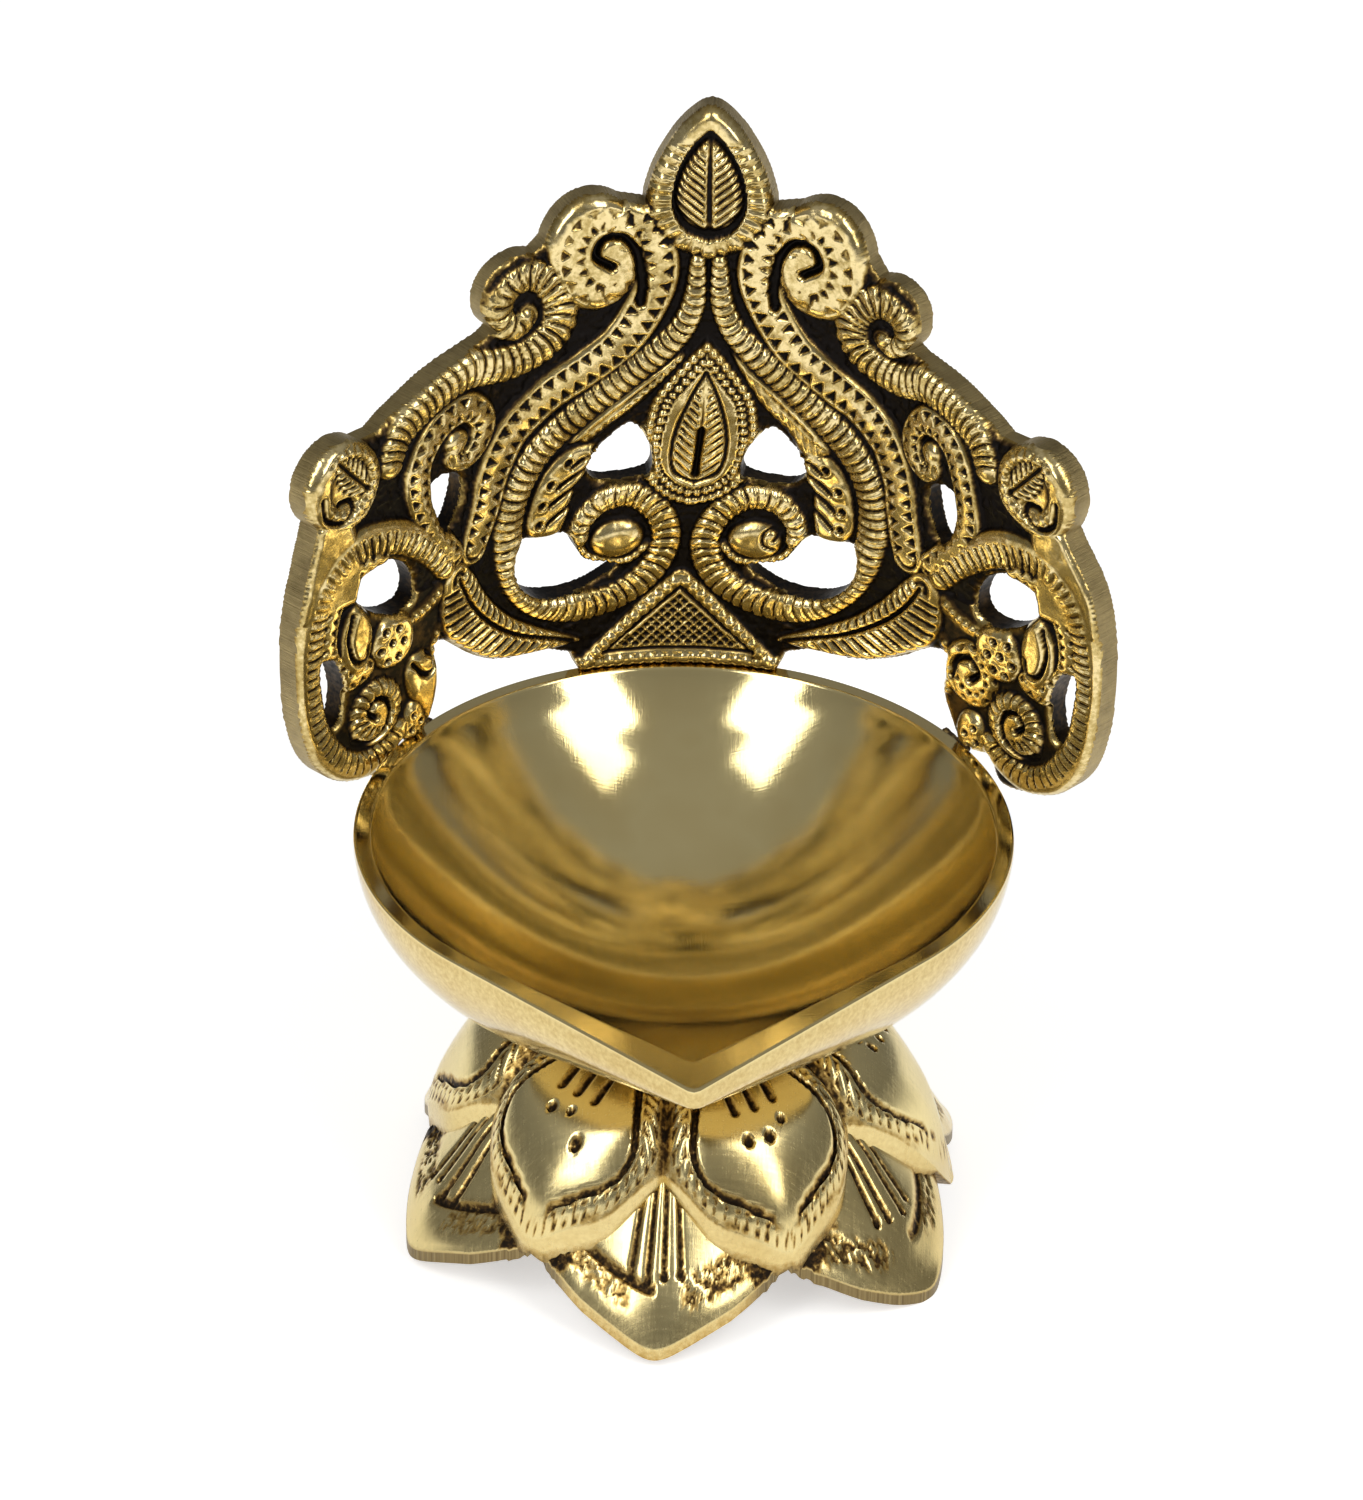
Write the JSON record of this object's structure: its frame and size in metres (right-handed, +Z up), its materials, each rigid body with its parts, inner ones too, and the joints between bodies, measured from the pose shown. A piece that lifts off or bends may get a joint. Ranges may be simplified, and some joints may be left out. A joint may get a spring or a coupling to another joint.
{
  "type": "diya oil lamp",
  "caption": "Cast brass diya: a lipped oil bowl screwed onto a hollow lotus foot, with a curved openwork scroll crest standing on the back of the rim.",
  "frame": {"origin": "on the surface that the foot stands on, under the bowl's and the stud's common axis", "axes": "+Z up along the bowl's axis; the pouring lip points along -Y, the crest stands at +Y, +X is to the right seen from the lip"},
  "size_m": [0.1015, 0.0976, 0.1317],
  "materials": {
    "polished_brass": "polished by hand, with fine scratches",
    "cast_brass": "cast relief with dark patina in the ground and bright filed tops",
    "turned_brass": "turned and threaded, dull",
    "braze": "rough brazing metal, dark"
  },
  "bodies": {
    "foot": {"lotus_foot": "polished_brass", "captive_nut": "turned_brass", "nut_braze": "braze"},
    "washer": {"seat_washer": "turned_brass"},
    "bowl": {"threaded_stud": "turned_brass", "oil_bowl": "polished_brass", "back_crest": "cast_brass", "crest_braze": "braze", "left_ear_braze": "braze", "right_ear_braze": "braze"}
  },
  "joints": [
    {"name": "bowl_turn", "type": "hinge", "parent": "foot", "child": "washer", "pos_m": [0, 0, 0.029], "axis": [0, 0, 1], "range_deg": [0, 1440]},
    {"name": "bowl_rise", "type": "slide", "parent": "washer", "child": "bowl", "axis": [0, 0, 1], "range_m": [0, 0.0051]}
  ],
  "couplings": [
    {"joint": "bowl_rise", "follows": "bowl_turn", "m_per_rad": 0.00020213}
  ]
}
